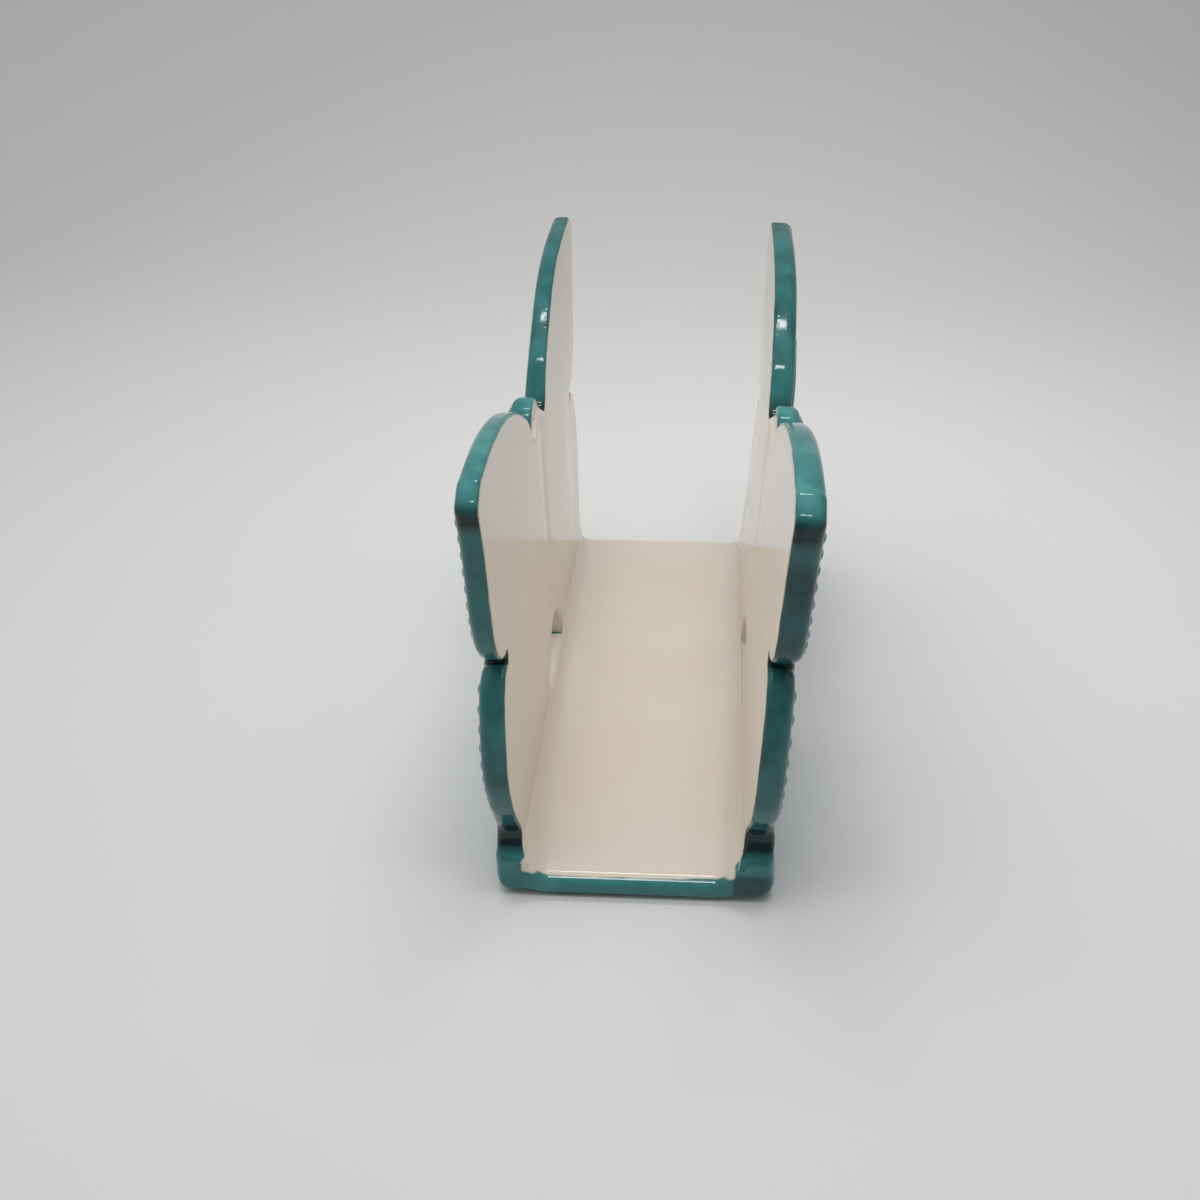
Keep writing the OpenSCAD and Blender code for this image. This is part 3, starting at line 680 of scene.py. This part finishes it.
def relief_piece(name, side, node, low, high, spacing, height_of, crest_of):
    """A skin over one form in relief, from its height above the wall at each place."""
    deselect_all()
    counts = [int(math.ceil((high[i] - low[i]) / spacing)) for i in (0, 1)]
    bpy.ops.mesh.primitive_grid_add(x_subdivisions=counts[0], y_subdivisions=counts[1], size=1.0)
    piece = bpy.context.object
    piece.name = name
    share = points_of(piece)[:, :2] * mm + 0.5
    plane = np.array(low) + share * (np.array(high) - np.array(low))
    height = height_of(plane)
    face = outer_face(plane) * thickness_share(*plane.T, side)
    foot = near_foot(*plane.T)
    moved_y = plane[:, 0] + foot_lean * side * foot
    moved_v = plane[:, 1] + foot_raise[side] * foot
    flat = np.column_stack(as_pressed(face + height - relief_sink, moved_y, moved_v, side))
    set_points(piece, from_wall(flat, side))
    set_attribute(piece, "teal_mm", np.full(len(plane), all_teal))
    set_attribute(piece, "crest", crest_of(height))
    set_attribute(piece, "pool_and_painted_light", foot_pool * np.exp(-(height / foot_softness) ** 2))
    if side == -1:
        piece.data.flip_normals()

    # Faces where there is no form are taken out: the wall itself shows there
    low_face = [all(height[v] < bare_height for v in polygon.vertices)
                for polygon in piece.data.polygons]
    bpy.ops.object.mode_set(mode="EDIT")
    bpy.ops.mesh.select_all(action="DESELECT")
    bpy.ops.object.mode_set(mode="OBJECT")
    piece.data.polygons.foreach_set("select", low_face)
    bpy.ops.object.mode_set(mode="EDIT")
    bpy.ops.mesh.delete(type="FACE")
    bpy.ops.object.mode_set(mode="OBJECT")
    apply_modifier(piece, "SOLIDIFY", thickness=relief_depth * mm, offset=-1.0)
    dress(piece, "teal_glaze", node)


head_centre = 0.721 * wall_height
head_radius = 7.75
head_rise = 2.6
dome_radius = (head_radius ** 2 + head_rise ** 2) / (2 * head_rise)
head_patch = 9.5
head_spacing = 0.38


def head_height(plane):
    away = np.hypot(plane[:, 0], plane[:, 1] - head_centre)
    dome = np.sqrt(np.maximum(dome_radius ** 2 - away ** 2, 0.0)) - dome_radius + head_rise
    return softened(dome)


for side, side_name in sides:
    relief_piece(side_name + "_head_relief", side, side_name + "_head",
                 (-head_patch, head_centre - head_patch),
                 (head_patch, head_centre + head_patch), head_spacing,
                 head_height, lambda height: 0.22 * rise(height, 0.8, 2.6))


# Bodies: a thorax and an abdomen of six rings below each head, down to the tail gap. They
# were pressed with the wall, in half relief, and the glaze pools in the grooves.
body_width = 12.0
body_rise = 3.6
waist_rise = 0.45 * body_rise
axis_sink = body_width / 2 - body_rise
abdomen_foot = tail_gap_top + 1.5
thorax_foot = 0.545 * wall_height
thorax_top = head_centre - head_radius
ring_count = 6
ring_groove = 0.5
body_end = 1.5
body_patch = 7.5
body_spacing = 0.36


def body_height(plane):
    v = plane[:, 1]
    part = np.clip((v - abdomen_foot) / (thorax_foot - abdomen_foot), 0.0, 1.0)
    belly = waist_rise + (body_rise - waist_rise) * np.sin(np.pi * part ** 0.7)
    belly -= ring_groove * (1 - np.abs(np.sin(np.pi * part * ring_count)) ** 0.8)
    share = np.clip((v - thorax_foot) / (thorax_top - waist_rise - thorax_foot), 0.0, 1.0)
    chest = waist_rise + (body_rise - waist_rise) * np.sin(np.pi * share)
    radius = axis_sink + np.where(v < thorax_foot, belly, chest)
    past_end = np.maximum(abdomen_foot + body_end - v, v - thorax_top + body_end)
    past_end = 1.9 * np.maximum(past_end, 0.0)
    round_section = np.sqrt(np.maximum(radius ** 2 - plane[:, 0] ** 2 - past_end ** 2, 0.0))
    return softened(round_section - axis_sink)


for side, side_name in sides:
    relief_piece(side_name + "_body_relief", side, side_name + "_body",
                 (-body_patch, abdomen_foot - body_end),
                 (body_patch, thorax_top + body_end), body_spacing,
                 body_height, lambda height: 0.22 * rise(height, 1.0, 3.4))


# Veins: five ridges on each wing that fan out from the body and taper. They were pressed with
# the wall, and the glaze is thin and light along their crests.
ends = ((1, "far"), (-1, "near"))
forewing_veins = [
    [[0.125, 0.692], [0.205, 0.795], [0.345, 0.855]],
    [[0.160, 0.661], [0.320, 0.785], [0.560, 0.900]],
    [[0.178, 0.626], [0.430, 0.735], [0.760, 0.920]],
    [[0.182, 0.588], [0.500, 0.670], [0.875, 0.840]],
    [[0.172, 0.550], [0.500, 0.590], [0.875, 0.715]],
]
hindwing_veins = [
    [[0.160, 0.480], [0.450, 0.485], [0.735, 0.430]],
    [[0.168, 0.440], [0.500, 0.430], [0.850, 0.345]],
    [[0.165, 0.400], [0.490, 0.360], [0.840, 0.225]],
    [[0.150, 0.360], [0.420, 0.280], [0.720, 0.110]],
    [[0.130, 0.322], [0.260, 0.225], [0.450, 0.080]],
]
vein_rise = 0.9
vein_width = 3.0
vein_spacing = 0.42


def vein_height(plane, veins):
    """Height of a wing's veins: for each place, the nearest point of each bent path."""
    place = np.column_stack([np.abs(plane[:, 0]), plane[:, 1]])
    total = np.zeros(len(place))
    t = np.linspace(0.0, 1.0, 61)
    for shares in veins:
        a, b, c = [np.array([y * half_span, v * wall_height]) for y, v in shares]
        path = (np.outer((1 - t) ** 2, a) + np.outer(2 * t * (1 - t), b) + np.outer(t ** 2, c))
        away = np.linalg.norm(place[:, None, :] - path[None, :, :], axis=2)
        nearest = away.argmin(axis=1)
        taper = 1 - 0.45 * t[nearest]
        form = np.exp(-(away.min(axis=1) / (0.42 * vein_width * taper)) ** 2)
        total += (vein_rise * taper * form) ** 3
    return np.cbrt(total)


def wing_region(low, high, end):
    """The corners of the patch that a wing's relief covers, given for the far wing."""
    return (low, high) if end == 1 else ((-high[0], low[1]), (-low[0], high[1]))


wing_veins = {
    "forewing_veins": (forewing_veins, (8.0, 52.0), (75.0, 97.0)),
    "hindwing_veins": (hindwing_veins, (8.0, 5.0), (73.0, 51.0)),
}
for side, side_name in sides:
    for end, end_name in ends:
        for wing, (veins, low, high) in wing_veins.items():
            relief_piece("_".join((side_name, end_name, wing, "relief")), side,
                         "_".join((side_name, end_name, wing)),
                         *wing_region(low, high, end), vein_spacing,
                         lambda plane, veins=veins: vein_height(plane, veins),
                         lambda height: 0.25 * rise(height, 0.2, 0.8))


# Border beads: a row of small domes inside the rim of each wing, at an even pitch. They were
# pressed with the wall, and the glaze pools around their feet.
bead_pitch = 4.0
bead_rise = 0.65
bead_reach = 1.7
bead_inset = 3.4
bead_margin = 2.2
bead_spacing = 0.30


def bead_centres(v_low, v_high):
    """Bead centres along the far half of the rim between two heights, at an even pitch."""
    run = [i for i in range(len(rim)) if rim[i][0] > 60.0 and v_low < rim[i][1] < v_high]
    line = rim[run] + bead_inset * rim_inward[run]
    along = np.concatenate([[0.0], np.cumsum(np.linalg.norm(np.diff(line, axis=0), axis=1))])
    count = int(along[-1] / bead_pitch)
    stops = (along[-1] - count * bead_pitch) / 2 + bead_pitch * np.arange(count + 1)
    return np.column_stack([np.interp(stops, along, line[:, i]) for i in (0, 1)])


def bead_height(plane, centres):
    place = np.column_stack([np.abs(plane[:, 0]), plane[:, 1]])
    away = np.linalg.norm(place[:, None, :] - centres[None, :, :], axis=2).min(axis=1)
    share = np.clip(away / bead_reach, 0.0, 1.0)
    return bead_rise * (1 - share ** 2) ** 1.3


bead_rows = {"hindwing": bead_centres(9.0, 50.0), "forewing": bead_centres(56.0, 95.0)}
for side, side_name in sides:
    for end, end_name in ends:
        for wing, centres in bead_rows.items():
            low = centres.min(axis=0) - bead_margin
            high = centres.max(axis=0) + bead_margin
            relief_piece("_".join((side_name, end_name, wing, "beads_relief")), side,
                         "_".join((side_name, end_name, wing, "beads")),
                         *wing_region(low, high, end), bead_spacing,
                         lambda plane, centres=centres: bead_height(plane, centres),
                         lambda height: 0.28 * rise(height, 0.3, 0.9))


# Floor and backdrop: a pale sweep of card, and the light of a photo tent above it. A pool of
# light is painted into the card's colour: brightest beside the holder, falling off around it.
floor_material = new_material("pale_card")
tree = floor_material.node_tree
place = add_node(tree, "ShaderNodeTexCoord").outputs["Object"]
away = add_node(tree, "ShaderNodeVectorMath", [(0, place), (1, (0.05, 0.10, 0.0))],
                operation="DISTANCE").outputs["Value"]
painted_light_falloff = add_node(tree, "ShaderNodeMapRange", [("Value", away), ("From Min", 0.08),
               ("From Max", 0.46)]).outputs["Result"]
card_colour_with_painted_light = add_node(tree, "ShaderNodeMix", [("Factor", painted_light_falloff), (colour_a, linear("#e5e5e5")),
                (colour_b, linear("#c9c8c6"))], data_type="RGBA").outputs[colour_out]
card = add_node(tree, "ShaderNodeBsdfPrincipled", [
    ("Base Color", card_colour_with_painted_light), ("Roughness", 0.9), ("Specular IOR Level", 0.1)])
add_node(tree, "ShaderNodeOutputMaterial", [("Surface", card.outputs["BSDF"])])

sweep_start = 0.30
sweep_radius = 0.30
sweep_front = -1.5
sweep_top = 1.6
sweep_steps = 12
half_width = 2.0
profile = [(sweep_front, 0.0), (sweep_start, 0.0)]
for k in range(1, sweep_steps + 1):
    angle = math.radians(90 * k / sweep_steps)
    profile.append((sweep_start + sweep_radius * math.sin(angle),
                    sweep_radius * (1 - math.cos(angle))))
profile.append((sweep_start + sweep_radius, sweep_top))
sweep_mesh = bpy.data.meshes.new("sweep")
sweep_mesh.from_pydata(
    [(x, y, z) for y, z in profile for x in (-half_width, half_width)], [],
    [(2 * i, 2 * i + 1, 2 * i + 3, 2 * i + 2) for i in range(len(profile) - 1)])
sweep = bpy.data.objects.new("sweep", sweep_mesh)
bpy.context.scene.collection.objects.link(sweep)
for polygon in sweep_mesh.polygons:
    polygon.use_smooth = True
sweep_mesh.materials.append(floor_material)


def lamp(name, place, aim, size_x, size_y, watts):
    data = bpy.data.lights.new(name, "AREA")
    data.shape = "RECTANGLE"
    data.size = size_x
    data.size_y = size_y
    data.energy = watts
    made = bpy.data.objects.new(name, data)
    bpy.context.scene.collection.objects.link(made)
    made.location = place
    direction = Vector(aim) - Vector(place)
    made.rotation_euler = direction.to_track_quat("-Z", "Y").to_euler()
    return made


# Two thin strips draw the highlights along the rims and edges. A wide soft lamp above the left
# wall gives the shadows, and the tent is brighter towards the far end
strip_length, strip_width, strip_watts = 0.26, 0.035, 0.60
for name, strip_y in (("near_strip", -0.16), ("far_strip", 0.12)):
    lamp(name, (0.0, strip_y, 0.62), (0, 0, 0), strip_length, strip_width, strip_watts)
soft_top = lamp("soft_top", (-0.25, 0.0, 1.1), (0, 0, 0), 1.4, 1.4, 6.6)
soft_top.visible_glossy = False

world = bpy.data.worlds.new("tent")
bpy.context.scene.world = world
world.use_nodes = True
tree = world.node_tree
background = tree.nodes["Background"]
background.inputs["Color"].default_value = linear("#f2f2f2")
direction = add_node(tree, "ShaderNodeTexCoord").outputs["Generated"]
towards_far = add_node(tree, "ShaderNodeSeparateXYZ", [("Vector", direction)]).outputs["Y"]
brightness = add_node(tree, "ShaderNodeMapRange", [
    ("Value", towards_far), ("From Min", -0.6), ("From Max", 0.4),
    ("To Min", 0.21), ("To Max", 0.76)]).outputs["Result"]
tree.links.new(brightness, background.inputs["Strength"])

bpy.context.scene.view_settings.view_transform = "Standard"
